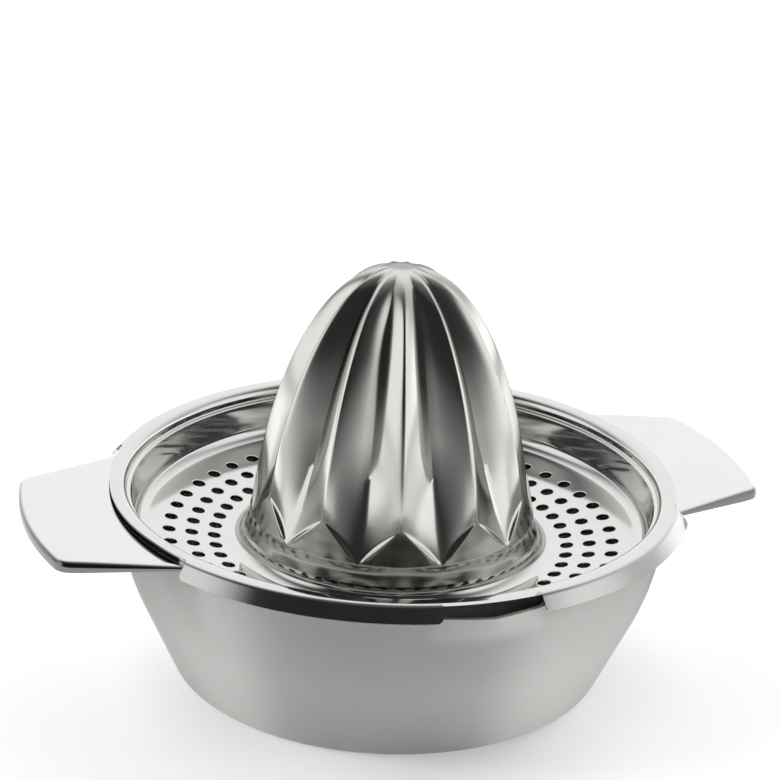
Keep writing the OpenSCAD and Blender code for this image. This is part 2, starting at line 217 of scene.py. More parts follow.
class StageLook(bpy.types.PropertyGroup):
    """Floor, light and camera"""

    floor: colour("Floor", "Colour of the floor", (0.93, 0.93, 0.93))
    floor_size: length("Floor size", "Side of the floor", 12.0)
    floor_glow: share("Floor glow", "Share of plain white in the floor as camera and steel see it", 0.35)
    camera_at: FloatVectorProperty(name="Camera", description="Place of the camera", size=3, subtype="XYZ",
                                   unit="LENGTH", default=(-0.1890, -0.5329, 0.2984))
    camera_aim: FloatVectorProperty(name="Aim", description="Point that the camera looks at", size=3,
                                    subtype="XYZ", unit="LENGTH", default=(-0.00167, 0.0006, 0.0757))
    camera_roll: angle("Roll", "Turn of the camera about its own axis", 2.366)
    lens: number("Lens", "Focal length for a 36 mm sensor", 107.05)
    lamp_at: FloatVectorProperty(name="Lamp", description="Place of the right lamp, mirrored on the left",
                                 size=3, subtype="XYZ", unit="LENGTH", default=(0.75, 0.25, 0.65))
    lamp_size: length("Lamp size", "Side of a lamp", 0.7)
    lamp_aim_h: length("Lamp aim", "Height on the axis that the lamps point at", 50 * MM)
    lamp_power: FloatProperty(name="Lamp power", description="Power of a lamp", default=10.0, unit="POWER")
    backdrop_light: number("Backdrop", "Brightness of the backdrop", 1.2)
    backdrop_turn: angle("Backdrop turn", "Turn of the backdrop from the camera's side", 184)
    backdrop_tilt: angle("Backdrop tilt", "Height of the backdrop's middle", 27)
    backdrop_core: angle("Backdrop core", "Half width of the backdrop's even middle", 18)
    backdrop_edge: angle("Backdrop edge", "Half width at which the backdrop has faded out", 66)
    front_tilt: angle("Dark tilt", "Height of the dark side's middle", 42)
    front_core: angle("Dark core", "Half width of the dark side's even middle", 32)
    front_edge: angle("Dark edge", "Half width at which the dark side ends", 80)
    dark_side: share("Dark side", "Brightness left on the camera's side", 0.12)
    horizon_light: number("Horizon", "Brightness of the pale horizon", 0.95)
    horizon_core: angle("Horizon core", "Height up to which the horizon is pale", 5)
    horizon_top: angle("Horizon top", "Height at which the pale horizon has faded out", 19)
    room_light: number("Room", "Brightness of the room", 0.24)
    right_light: number("Right side", "Extra brightness of the right side", 0.42)
    right_from: number("Right start", "Share to the right at which the extra brightness starts", -0.2)
    right_to: number("Right end", "Share to the right at which the extra brightness is full", 0.9)
    zenith_light: number("Ceiling", "Brightness added overhead", 0.10)
    zenith_edge: angle("Ceiling edge", "Height at which the brightness overhead starts", 55)
    zenith_core: angle("Ceiling core", "Height from which the brightness overhead is full", 80)
    panel_left: angle("Left panel", "Turn of the left white panel from the right handle", 172)
    panel_right: angle("Right panel", "Turn of the right white panel from the right handle", -32)
    panel_tilt: angle("Panel tilt", "Height of a panel's middle", 20)
    panel_core: angle("Panel core", "Half width of a panel's even middle", 8)
    panel_edge: angle("Panel edge", "Half width at which a panel has faded out", 30)
    panel_light: number("Panel", "Brightness of a panel", 1.15)


# Profiles

def arc(centre, r, a0, a1, steps):
    """Points along an arc, with angles in radians."""
    turns = [a0 + (a1 - a0) * i / steps for i in range(steps + 1)]
    return [Vector((centre[0] + r * math.cos(a), centre[1] + r * math.sin(a))) for a in turns]


def rounded_corner(p, q, s, r, steps):
    """The corner q of the path p-q-s as an arc that touches both legs."""
    u, v = (p - q).normalized(), (s - q).normalized()
    half = u.angle(v) / 2
    c = q + (u + v).normalized() * (r / math.sin(half))
    start, end = q + u * (r / math.tan(half)) - c, q + v * (r / math.tan(half)) - c
    a0, a1 = math.atan2(start.y, start.x), math.atan2(end.y, end.x)
    turn = (a1 - a0 + math.pi) % (2 * math.pi) - math.pi
    return arc(c, r, a0, a0 + turn, steps)


def rounded_path(corners, radii, steps):
    """A path through corners, each rounded to its own radius."""
    pts = [Vector(c) for c in corners]
    path = [pts[0]]
    for i in range(1, len(pts) - 1):
        path += rounded_corner(pts[i - 1], pts[i], pts[i + 1], radii[i - 1], steps)
    return path + [pts[-1]]


def finer(path, step):
    """The same path with no leg longer than step."""
    out = [path[0]]
    for a, b in zip(path, path[1:]):
        n = max(1, math.ceil((b - a).length / step))
        out += [a.lerp(b, i / n) for i in range(1, n + 1)]
    return out


def beside(path, d):
    """The same path moved to its left by d."""
    def left(a, b):
        v = (b - a).normalized()
        return Vector((-v.y, v.x))
    out = []
    for i, p in enumerate(path):
        a = left(path[max(i, 1) - 1], path[max(i, 1)])
        b = left(path[min(i, len(path) - 2)], path[min(i, len(path) - 2) + 1])
        out.append(p + (a + b) * (d / (1 + a.dot(b))))
    return out


def along(path, s):
    """The point at distance s along a path."""
    for a, b in zip(path, path[1:]):
        leg = (b - a).length
        if s <= leg:
            return a.lerp(b, s / leg)
        s -= leg
    return path[-1].copy()


def path_length(path):
    return sum((b - a).length for a, b in zip(path, path[1:]))


def on_circle(r, a, z):
    return Vector((r * math.cos(a), r * math.sin(a), z))


def smooth_step(x):
    x = min(max(x, 0.0), 1.0)
    return x * x * (3 - 2 * x)


# Meshes

class Sheet:
    """Collects points and faces of a piece and makes one clean mesh of them."""

    def __init__(self):
        self.points = []
        self.faces = []

    def add(self, points):
        start = len(self.points)
        self.points += points
        return list(range(start, start + len(points)))

    def grid(self, rows, closed_rows=False, closed_columns=False):
        """Faces between neighbouring rows of equally many points."""
        ids = [self.add(row) for row in rows]
        self.weave(ids, closed_rows, closed_columns)
        return ids

    def weave(self, ids, closed_rows=False, closed_columns=False):
        n, m = len(ids), len(ids[0])
        for i in range(n if closed_rows else n - 1):
            a, b = ids[i], ids[(i + 1) % n]
            for j in range(m if closed_columns else m - 1):
                k = (j + 1) % m
                self.faces.append((a[j], a[k], b[k], b[j]))

    def mesh(self, name, merge=2e-6, sharp=math.radians(38)):
        mesh = bpy.data.meshes.new(name)
        mesh.from_pydata(self.points, [], self.faces)
        clean(mesh, merge, sharp)
        return mesh


def clean(mesh, merge, sharp, outward=True):
    """Merges doubles, drops flat faces, turns the normals outwards and smooths up to the sharp angle."""
    bm = bmesh.new()
    bm.from_mesh(mesh)
    bmesh.ops.remove_doubles(bm, verts=bm.verts, dist=merge)
    bmesh.ops.dissolve_degenerate(bm, dist=merge / 2, edges=bm.edges)
    if outward:
        bmesh.ops.recalc_face_normals(bm, faces=bm.faces)
    bm.to_mesh(mesh)
    bm.free()
    mesh.shade_smooth()
    mesh.set_sharp_from_angle(angle=sharp)


def new_object(name, mesh, material):
    obj = bpy.data.objects.new(name, mesh)
    mesh.materials.clear()
    mesh.materials.append(material)
    bpy.context.scene.collection.objects.link(obj)
    return obj


def put_on(obj, body, slot, *nodes):
    """Hands a finished piece to the frame: what it rides on and the frame parts it stands for, which it hides.
    The slot, its finish's name, is not used.
    """
    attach(obj, body)
    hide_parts(*nodes)


# Geometry nodes: one tile repeated round the axis

def ring_tree():
    """A tree that sets copies of its input geometry round the Z axis and joins them."""
    tree = bpy.data.node_groups.new("ring_of_tiles", "GeometryNodeTree")
    face = tree.interface
    face.new_socket("Geometry", in_out="OUTPUT", socket_type="NodeSocketGeometry")
    face.new_socket("Tile", in_out="INPUT", socket_type="NodeSocketGeometry")
    face.new_socket("Count", in_out="INPUT", socket_type="NodeSocketInt")
    face.new_socket("Turn", in_out="INPUT", socket_type="NodeSocketFloat")
    face.new_socket("Merge", in_out="INPUT", socket_type="NodeSocketFloat")
    face.new_socket("Material", in_out="INPUT", socket_type="NodeSocketMaterial")
    nodes, link = tree.nodes, tree.links.new
    given, out = nodes.new("NodeGroupInput"), nodes.new("NodeGroupOutput")
    spots = nodes.new("GeometryNodeMeshLine")
    spots.inputs["Offset"].default_value = (0, 0, 0)
    index = nodes.new("GeometryNodeInputIndex")
    step = nodes.new("ShaderNodeMath")
    step.operation = "DIVIDE"
    step.inputs[0].default_value = 2 * math.pi
    turn = nodes.new("ShaderNodeMath")
    turn.operation = "MULTIPLY_ADD"
    spin = nodes.new("ShaderNodeCombineXYZ")
    euler = nodes.new("FunctionNodeEulerToRotation")
    copies = nodes.new("GeometryNodeInstanceOnPoints")
    real = nodes.new("GeometryNodeRealizeInstances")
    merge = nodes.new("GeometryNodeMergeByDistance")
    paint = nodes.new("GeometryNodeSetMaterial")
    link(given.outputs["Count"], spots.inputs["Count"])
    link(given.outputs["Count"], step.inputs[1])
    link(index.outputs[0], turn.inputs[0])
    link(step.outputs[0], turn.inputs[1])
    link(given.outputs["Turn"], turn.inputs[2])
    link(turn.outputs[0], spin.inputs["Z"])
    link(spin.outputs[0], euler.inputs[0])
    link(spots.outputs[0], copies.inputs["Points"])
    link(given.outputs["Tile"], copies.inputs["Instance"])
    link(euler.outputs[0], copies.inputs["Rotation"])
    link(copies.outputs[0], real.inputs[0])
    link(real.outputs[0], merge.inputs["Geometry"])
    link(given.outputs["Merge"], merge.inputs["Distance"])
    link(merge.outputs[0], paint.inputs["Geometry"])
    link(given.outputs["Material"], paint.inputs["Material"])
    link(paint.outputs[0], out.inputs["Geometry"])
    return tree


def repeat_round(tile, copies, turn, material, merge=2e-6):
    """A plain mesh of the tile repeated round the axis by the ring tree."""
    tree = bpy.data.node_groups.get("ring_of_tiles") or ring_tree()
    obj = bpy.data.objects.new(tile.name, tile)
    bpy.context.scene.collection.objects.link(obj)
    mod = obj.modifiers.new("ring", "NODES")
    mod.node_group = tree
    wanted = {"Count": copies, "Turn": turn, "Merge": merge, "Material": material}
    for item in tree.interface.items_tree:
        if item.item_type == "SOCKET" and item.in_out == "INPUT" and item.name in wanted:
            mod[item.identifier] = wanted[item.name]
    bpy.context.view_layer.update()
    shown = obj.evaluated_get(bpy.context.evaluated_depsgraph_get())
    mesh = bpy.data.meshes.new_from_object(shown)
    bpy.data.objects.remove(obj)
    return mesh


# Materials

class Value:
    """A shader socket whose arithmetic adds Math nodes."""

    def __init__(self, maker, socket):
        self.maker, self.socket = maker, socket

    def _math(self, operation, a, b):
        return self.maker.node("ShaderNodeMath", {"operation": operation}, {0: a, 1: b})

    def __add__(self, other):
        return self._math("ADD", self, other)

    def __radd__(self, other):
        return self._math("ADD", other, self)

    def __sub__(self, other):
        return self._math("SUBTRACT", self, other)

    def __rsub__(self, other):
        return self._math("SUBTRACT", other, self)

    def __mul__(self, other):
        return self._math("MULTIPLY", self, other)

    def __rmul__(self, other):
        return self._math("MULTIPLY", other, self)

    def __truediv__(self, other):
        return self._math("DIVIDE", self, other)

    def __rtruediv__(self, other):
        return self._math("DIVIDE", other, self)

    def __pow__(self, other):
        return self._math("POWER", self, other)


class Finish:
    """Builds one material's or world's nodes."""

    def __init__(self, tree):
        self.tree = tree
        self.tree.nodes.clear()

    def node(self, kind, settings=None, inputs=None, out=0):
        n = self.tree.nodes.new(kind)
        for key, value in (settings or {}).items():
            if key == "stops":
                self._stops(n.color_ramp, value)
            else:
                setattr(n, key, value)
        for key, value in (inputs or {}).items():
            self.feed(n.inputs[key], value)
        return Value(self, n.outputs[out]) if n.outputs else n

    def feed(self, socket, value):
        if isinstance(value, Value):
            self.tree.links.new(value.socket, socket)
        elif value is not None:
            socket.default_value = value

    def _stops(self, ramp, stops):
        while len(ramp.elements) > 1:
            ramp.elements.remove(ramp.elements[-1])
        for i, (at, grey) in enumerate(stops):
            e = ramp.elements[0] if i == 0 else ramp.elements.new(at)
            e.position = at
            e.color = (grey, grey, grey, 1)

    def spot(self):
        return self.node("ShaderNodeTexCoord", out="Object")

    def axes(self, vector):
        n = self.tree.nodes.new("ShaderNodeSeparateXYZ")
        self.feed(n.inputs[0], vector)
        return [Value(self, s) for s in n.outputs]

    def noise(self, vector, scale, detail=2.0, rough=0.5):
        return self.node("ShaderNodeTexNoise", {"noise_dimensions": "3D"},
                         {"Vector": vector, "Scale": scale, "Detail": detail, "Roughness": rough})

    def between(self, value, low, high):
        """The value's range 0.3 to 0.7, where noise lives, mapped to low to high."""
        return self.node("ShaderNodeMapRange", {"clamp": True},
                         {"Value": value, "From Min": 0.3, "From Max": 0.7, "To Min": low, "To Max": high})

    def ramp(self, value, low, high):
        """A soft step from 0 at low to 1 at high."""
        return self.node("ShaderNodeMapRange", {"clamp": True, "interpolation_type": "SMOOTHSTEP"},
                         {"Value": value, "From Min": low, "From Max": high, "To Min": 0.0, "To Max": 1.0})

    def towards(self, way, turn, tilt):
        """Cosine of the angle between a direction and one given by its turn and tilt."""
        axis = (math.cos(turn) * math.cos(tilt), math.sin(turn) * math.cos(tilt), math.sin(tilt))
        return self.node("ShaderNodeVectorMath", {"operation": "DOT_PRODUCT"}, {0: way, 1: axis}, out="Value")

    def tint(self, share_, first, second):
        """A colour between two colours, each a triple or a socket."""
        pair = [c if isinstance(c, Value) else (*c, 1) for c in (first, second)]
        return self.node("ShaderNodeMix", {"data_type": "RGBA"},
                         {"Factor": share_, 6: pair[0], 7: pair[1]}, out=2)


def scaled(rgb, k):
    return tuple(min(1.0, c * k) for c in rgb)


def steel(name, rgb, rough, line_pitch, line_share, brushing=0.0, glance=1.0, edge=None):
    """Bare steel: turning lines round the axis, faint cloudy wear, rubbed spots and, where edge is given,
    painted shade: the colour turns dark below a height, beyond a radius and within a half width in y.
    """
    mat = bpy.data.materials.new(name)
    mat.use_nodes = True
    f = Finish(mat.node_tree)
    at = f.spot()
    x, y, z = f.axes(at)
    radius = (x * x + y * y) ** 0.5
    lines_at = f.node("ShaderNodeCombineXYZ", None, {0: radius / line_pitch, 1: z / line_pitch, 2: 0.0})
    lines = f.noise(lines_at, 1.0, 1.0)
    cloud = f.noise(at, 38.0, 3.0)
    rubbed = f.noise(at, 150.0, 2.0, 0.6)
    colour_share = f.between(cloud * 0.7 + rubbed * 0.3, 0.0, 1.0)
    base = f.tint(colour_share, scaled(rgb, 0.975), scaled(rgb, 1.015))
    if edge:
        # Painted shade: this mask darkens the colour for the shaded gap over a handle, and for the dark
        # reflection on a handle's turned-down edge.
        plain_z, dark_z, dark, edge_r, edge_y = edge
        painted_shade_zone = f.ramp(radius, edge_r, edge_r + 0.3 * MM) * f.ramp(y * y, edge_y ** 2, (0.97 * edge_y) ** 2)
        base = f.tint(f.ramp(z, plain_z, dark_z) * painted_shade_zone, base, dark)
    low, high = rough * 0.9, rough * 1.1
    roughness = f.between(cloud * 0.5 + rubbed * 0.25 + lines * 0.25, low, high)
    bump = f.node("ShaderNodeBump", None, {"Strength": line_share, "Distance": 0.002 * MM, "Height": lines})
    shader = f.node("ShaderNodeBsdfPrincipled", None,
                    {"Base Color": base, "Metallic": 1.0, "Roughness": roughness, "Normal": bump,
                     "Specular Tint": (glance, glance, glance, 1), "Anisotropic": brushing,
                     "Anisotropic Rotation": 0.25})
    f.node("ShaderNodeOutputMaterial", None, {"Surface": shader})
    return mat


def finish_of(name):
    """The named steel, made once from the look's settings."""
    made = bpy.data.materials.get(name)
    if made:
        return made
    look = bpy.context.scene.juicer_steel
    if name == "satin_steel":
        bowl = bpy.context.scene.juicer_bowl
        # Painted shade on the lip's outer edge over the handles, for the shaded gap under the flange.
        lip_shade_z = bowl.height - bowl.sheet
        edge = (lip_shade_z - look.lip_shade_fade, lip_shade_z + look.lip_shade_fade, look.painted_gap_shade,
                bowl.lip_r - look.lip_shade_w, look.gap_shade_half_w)
        return steel(name, look.satin, look.satin_rough, look.line_pitch, look.satin_lines, look.brushing,
                     look.satin_glance, edge)
    if name == "polished_steel":
        pan = bpy.context.scene.juicer_strainer
        # Painted shade on the flange's lower outer edge over the handles, for the shaded gap above each
        # handle.
        edge = (pan.flange_z - look.flange_shade_start, pan.flange_z - look.flange_shade_end, look.painted_gap_shade,
                pan.wall_r + look.flange_shade_at, look.gap_shade_half_w)
        return steel(name, look.polished, look.polished_rough, look.line_pitch, look.polished_lines, edge=edge)
    if name == "wing_steel":
        top = bpy.context.scene.juicer_handles.top
        # Painted dark reflection on the handle's turned-down edge and underside.
        edge = (top - look.wing_reflection_start, top - look.wing_reflection_end, look.painted_wing_reflection, 0.0, 1.0)
        return steel(name, look.wing, look.polished_rough, look.line_pitch, look.polished_lines, edge=edge)
    if name == "mirror_steel":
        return steel(name, look.reamer, look.reamer_rough, look.line_pitch, look.reamer_lines,
                     glance=look.reamer_glance)
    raise ValueError(f"no steel is named {name}")


# Pieces

class JUICER_OT_bowl(bpy.types.Operator):
    """Draws the bowl with its rim lip and V spout"""

    bl_idname = "juicer.bowl"
    bl_label = "Bowl"

    def execute(self, context):
        s = context.scene.juicer_bowl
        under_z = s.height - s.sheet
        knee_z = s.knee_h
        lean = math.atan2(s.rim_r - s.base_r, knee_z)
        upright_z = under_z - s.bend_r - s.upright
        shoulder_r = (upright_z - knee_z) / math.tan(lean / 2)
        corners = [(0, 0), (s.base_r, 0), (s.rim_r, knee_z), (s.rim_r, under_z), (s.lip_r, under_z)]
        outside = rounded_path(corners, [s.base_corner_r, shoulder_r, s.bend_r], 14)
        inside = beside(outside, s.sheet)
        outside, inside = finer(outside, 2.5 * MM), finer(inside, 2.5 * MM)
        wall_top = under_z - s.bend_r
        spout_z = s.height - s.spout_dip
        crease_z = spout_z - s.spout_fall
        edge = 1.45 * s.sheet

        def spout(p, r_edge, inner):
            """Place of a profile point where the rim is pulled out into the spout."""
            if p.y <= crease_z:
                return p
            q = min(1.0, (p.y - crease_z) / (wall_top - crease_z))
            reach = r_edge - (edge if inner else 0) - (s.rim_r - (s.sheet if inner else 0))
            r = min(p.x, s.rim_r) + q * reach
            return Vector((r, crease_z + q * (spout_z - crease_z)))

        fine = math.radians(0.5)
        wide = math.radians(16)
        coarse = math.radians(1.5)
        turns = []
        a = -math.pi
        while a < math.pi - 1e-6:
            turns.append(a)
            a += fine if -wide <= a < wide - 1e-6 else coarse
        rows = []
        top_in = len(inside) - 1
        profile = [(p, False) for p in outside] + [(inside[i], True) for i in range(top_in, -1, -1)]
        for p, inner in profile:
            row = []
            for d in turns:
                off = abs(s.rim_r * math.sin(d)) if abs(d) < math.pi / 2 else s.rim_r
                pull = 1 - smooth_step((off - s.spout_half_w) / (s.spout_root_w - s.spout_half_w))
                q = p
                if pull > 0 and p.y > crease_z:
                    peak = max(0.0, 1 - off / s.spout_half_w)
                    q = p.lerp(spout(p, s.lip_r + (s.tip_r - s.lip_r) * peak, inner), pull)
                row.append(on_circle(q.x, d - math.pi / 2, q.y))
            rows.append(row)
        sheet = Sheet()
        sheet.grid(rows, closed_columns=True)
        mesh = sheet.mesh("bowl_sheet")
        obj = new_object("bowl_sheet", mesh, finish_of("satin_steel"))
        put_on(obj, "bowl", "bowl_steel", "juice_bowl")
        return {"FINISHED"}


class JUICER_OT_handles(bpy.types.Operator):
    """Draws the two wing handles with their turned-down edges"""

    bl_idname = "juicer.handles"
    bl_label = "Handles"

    def execute(self, context):
        s, bowl = context.scene.juicer_handles, context.scene.juicer_bowl
        out = Vector((math.sin(s.taper), math.cos(s.taper)))
        way = Vector((math.cos(s.taper), -math.sin(s.taper)))
        root = bowl.lip_r * Vector((math.cos(s.root_angle), math.sin(s.root_angle)))
        line = root - s.corner_r * out
        b = line.dot(way)
        side = math.sqrt(b * b - line.dot(line) + (s.reach - s.corner_r) ** 2) - b
        corner = line + side * way
        corner_a = math.atan2(corner.y, corner.x)

        def edge_line(inset):
            half = [root - inset * out + way * (side * i / 10) for i in range(10)]
            half += arc(corner, s.corner_r - inset, math.pi / 2 - s.taper, corner_a, 14)
            half += arc((0, 0), s.reach - inset, corner_a, 0, 28)[1:]
            return half + [Vector((p.x, -p.y)) for p in half[-2::-1]]

        def depth(x):
            t = min(max((x - root.x) / (corner.x - root.x), 0), 1)
            return s.edge_root_h + (s.edge_h - s.edge_root_h) * t

        def ring(inset, z, base_z):
            drop = s.edge_h + base_z
            return [Vector((p.x, p.y, s.top + base_z + (z - base_z) * (depth(p.x) + base_z) / drop))
                    for p in edge_line(inset)]

        def seat(z, n):
            start = root - s.edge_r * out
            a = math.atan2(start.y, start.x)
            rim = arc((0, 0), bowl.rim_r + bowl.bend_r, a, -a, n - 1)
            return [Vector((p.x, p.y, s.top + z)) for p in rim]

        steps = 12
        bends = [math.pi / 2 * i / steps for i in range(steps + 1)]
        upper = [(s.edge_r * (1 - math.sin(a)), s.edge_r * (math.cos(a) - 1)) for a in bends]
        upper += [(0, -s.edge_h)]
        inner_r = s.edge_r - s.sheet
        lower = [(s.edge_r - inner_r * math.sin(a), inner_r * math.cos(a) - s.edge_r) for a in bends]
        lower += [(s.sheet, -s.edge_h)]
        n = len(edge_line(0))

        def face(section, base_z):
            """Rings over the plate and round its edge, with a few lines across the plate."""
            rings = [ring(i, z, base_z) for i, z in section]
            start = seat(base_z, n)
            plate = [[p.lerp(q, k / 6) for p, q in zip(start, rings[0])] for k in range(6)]
            return plate + rings

        rings = face(upper, 0.0) + face(lower, -s.sheet)[::-1]
        half = len(rings) // 2
        for name, node, turn in (("right_wing", "right_handle", 0.0), ("left_wing", "left_handle", math.pi)):
            spin = Matrix.Rotation(turn, 3, "Z")
            sheet = Sheet()
            ids = sheet.grid([[spin @ p for p in r] for r in rings], closed_rows=True)
            for end in (0, -1):
                sheet.weave([[ids[i][end] for i in range(half)], [ids[-1 - i][end] for i in range(half)]])
            obj = new_object(name, sheet.mesh(name), finish_of("wing_steel"))
            put_on(obj, "bowl", "handle_steel", node)
        return {"FINISHED"}


def neck_radius(cone):
    """Radius of the pan's neck, on which the reamer's collar stands."""
    return cone.cone_r + cone.collar_h * math.tan(cone.collar_flare)


class JUICER_OT_strainer(bpy.types.Operator):
    """Draws the strainer pan: perforated floor, wall, flange and cut skirt"""

    bl_idname = "juicer.strainer"
    bl_label = "Strainer pan"

    columns_per_hole = 5

    def execute(self, context):
        s, cone = context.scene.juicer_strainer, context.scene.juicer_reamer
        material = finish_of("polished_steel")
        foot_z = s.flange_z - s.depth
        foot_r = neck_radius(cone)
        dish, draft = math.tan(s.dish), math.tan(s.draft)

        def floor_corner(wall_r):
            """Where the floor meets a wall that reaches wall_r at the flange."""
            r = (wall_r - draft * (s.depth + foot_r * dish)) / (1 - dish * draft)
            return r, foot_z + (r - foot_r) * dish

        flange_r = s.wall_r + s.flange_w
        corners = [(foot_r, foot_z), floor_corner(s.wall_r), (s.wall_r, s.flange_z), (flange_r, s.flange_z),
                   (s.skirt_r, s.flange_z - s.skirt_drop)]
        steps = 14
        path = rounded_path(corners, [s.floor_corner_r, s.flange_bend_r, s.skirt_bend_r], steps)
        flat_end = path[3 + 2 * steps]
        skirt = path[3 + 2 * steps:]
        # The upper face steps out over a narrow ledge below a rounder bend.
        ledge_z = s.flange_z - s.ledge_drop
        ledge_r = s.wall_r - draft * s.ledge_drop
        ledge = [floor_corner(s.wall_r - s.ledge_w), (ledge_r - s.ledge_w, ledge_z),
                 (ledge_r, ledge_z + s.ledge_rise)]
        radii = [s.floor_corner_r, s.ledge_r, s.ledge_r, s.rim_bend_r, s.skirt_bend_r]
        stepped = rounded_path([corners[0], *ledge, *corners[2:]], radii, steps)
        floor_end = stepped[1]
        wall = finer(stepped[1:6 + 4 * steps], 1.5 * MM)
        wall_under = beside(finer([floor_end] + path[1:4 + 2 * steps], 1.5 * MM), -s.sheet)
        skirt_under = beside(skirt, -s.sheet)
        wall_under[-1] = Vector((flat_end.x, flat_end.y - s.sheet))
        skirt_under[0] = wall_under[-1].copy()

        floor = repeat_round(self.tile(s, foot_r, foot_z, floor_end), s.hole_count, s.hole_turn, material)
        rim = self.rim(s, wall, wall_under, skirt, skirt_under)
        bm = bmesh.new()
        bm.from_mesh(floor)
        bm.from_mesh(rim)
        mesh = bpy.data.meshes.new("strainer_sheet")
        bm.to_mesh(mesh)
        bm.free()
        clean(mesh, 4e-6, math.radians(38))
        obj = new_object("strainer_sheet", mesh, material)
        put_on(obj, "strainer", "strainer_steel", "strainer_pan")
        return {"FINISHED"}

    def tile(self, s, foot_r, foot_z, floor_end):
        """One sector of the floor with a hole for each ring."""
        half = math.pi / s.hole_count
        n = self.columns_per_hole
        slope = Vector((math.cos(s.dish), math.sin(s.dish)))
        down = Vector((slope.y, -slope.x)) * s.sheet
        across = [-half + 2 * half * i / n for i in range(n + 1)]

        def place(d, a, share_=0.0):
            """The floor's point d from its inner edge at angle a, share_ of the sheet down."""
            p = Vector((foot_r, foot_z)) + slope * d + down * share_
            return on_circle(p.x, a, p.y)

        foot = Vector((foot_r, foot_z))
        end = (floor_end - foot).length
        start = s.neck_fillet_r / math.tan((math.pi / 2 - s.dish) / 2)
        k = 1 / math.cos(s.dish)
        rings = [(s.ring_margin + i * s.ring_pitch) * k for i in range(s.hole_rings)]
        cell = s.ring_pitch * k / 2
        sheet = Sheet()

        def plain(d0, d1, lines):
            rows = [[place(d0 + (d1 - d0) * i / lines, a) for a in across] for i in range(lines + 1)]
            sheet.grid(rows)
            sheet.grid([[place(d0 + (d1 - d0) * i / lines, a, 1.0) for a in across]
                        for i in range(lines + 1)])

        plain(start, rings[0] - cell, 1)
        plain(rings[-1] + cell, end, 4)
        neck = rounded_path([foot + Vector((0, s.neck_h - 0.05 * MM)), foot, foot + slope * start * 1.001],
                            [s.neck_fillet_r], 14)[:-1]
        under = beside(neck, -s.sheet)
        under[-1] = neck[-1] + down
        for path in (neck, under, [neck[0], under[0]]):
            sheet.grid([[on_circle(p.x, a, p.y) for a in across] for p in path])
        hole_r = s.hole_d / 2
        for d in rings:
            r_mid = foot_r + d * slope.x
            border = [(d - cell, a) for a in across]
            border += [(d - cell + 2 * cell * i / n, half) for i in range(1, n + 1)]
            border += [(d + cell, a) for a in across[-2::-1]]
            border += [(d + cell - 2 * cell * i / n, -half) for i in range(1, n)]
            turns = [math.atan2((b - d), r_mid * a) for b, a in border]

            def circle(r, share_):
                return [place(d + r * math.sin(t), r * math.cos(t) / r_mid, share_) for t in turns]

            e = s.hole_edge
            t = e / s.sheet
            sheet.grid([
                [place(b, a) for b, a in border],
                circle(hole_r + 2.2 * e, 0.0),
                circle(hole_r + e, 0.0),
                circle(hole_r + 0.29 * e, 0.29 * t),
                circle(hole_r, t),
                circle(hole_r, 1.0),
                [place(b, a, 1.0) for b, a in border],
            ], closed_columns=True)
        return sheet.mesh("strainer_floor_tile")

    def rim(self, s, wall, wall_under, skirt, skirt_under):
        """Wall and flange all round, and the skirt between its gaps."""
        total = s.hole_count * self.columns_per_hole
        step = 2 * math.pi / total
        first = s.hole_turn - math.pi / s.hole_count
        plain = [first + step * j for j in range(total)]
        gaps = [(-math.pi / 2, s.spout_gap), (0.0, s.handle_gap), (math.pi, s.handle_gap)]
        ends = []
        for mid, half in gaps:
            ends += [(mid - half, -1), (mid + half, 1)]
        # Near each skirt end the columns close up, so that its corner can be round.
        corner = s.skirt_corner_r / s.skirt_r
        marks = []
        for a, way in ends:
            at = round((a - first) / step)
            for k, off in enumerate((0.0, 0.12, 0.35, 0.7, 1.05)):
                marks.append((at + way * k, a + way * off * corner))
        marks = sorted(((j % total, a + (j % total - j) * step) for j, a in marks), key=lambda m: m[0])
        marks = [(marks[-1][0] - total, marks[-1][1] - 2 * math.pi)] + marks
        marks.append((marks[1][0] + total, marks[1][1] + 2 * math.pi))

        def warped(j):
            for (j0, a0), (j1, a1) in zip(marks, marks[1:]):
                if j0 <= j <= j1:
                    return a0 + (a1 - a0) * (j - j0) / (j1 - j0)
            return plain[j]

        moved = [warped(j) for j in range(total)]
        n = len(wall)

        def row(p, i):
            w = smooth_step(i / (0.75 * n))
            return [on_circle(p.x, a + (b - a) * w, p.y) for a, b in zip(plain, moved)]

        sheet = Sheet()
        top = [sheet.add(row(p, i)) for i, p in enumerate(wall)]
        low = [sheet.add(row(p, i)) for i, p in enumerate(wall_under)]
        sheet.weave(top, closed_columns=True)
        sheet.weave(low, closed_columns=True)

        edge = path_length(skirt)
        edge_under = path_length(skirt_under)
        lines = 14

        def from_end(a):
            """Distance along the skirt's edge to the nearest skirt end, or less than nothing in a gap."""
            best = math.inf
            for mid, half in gaps:
                d = abs((a - mid + math.pi) % (2 * math.pi) - math.pi) - half
                best = min(best, d * s.skirt_r)
            return best

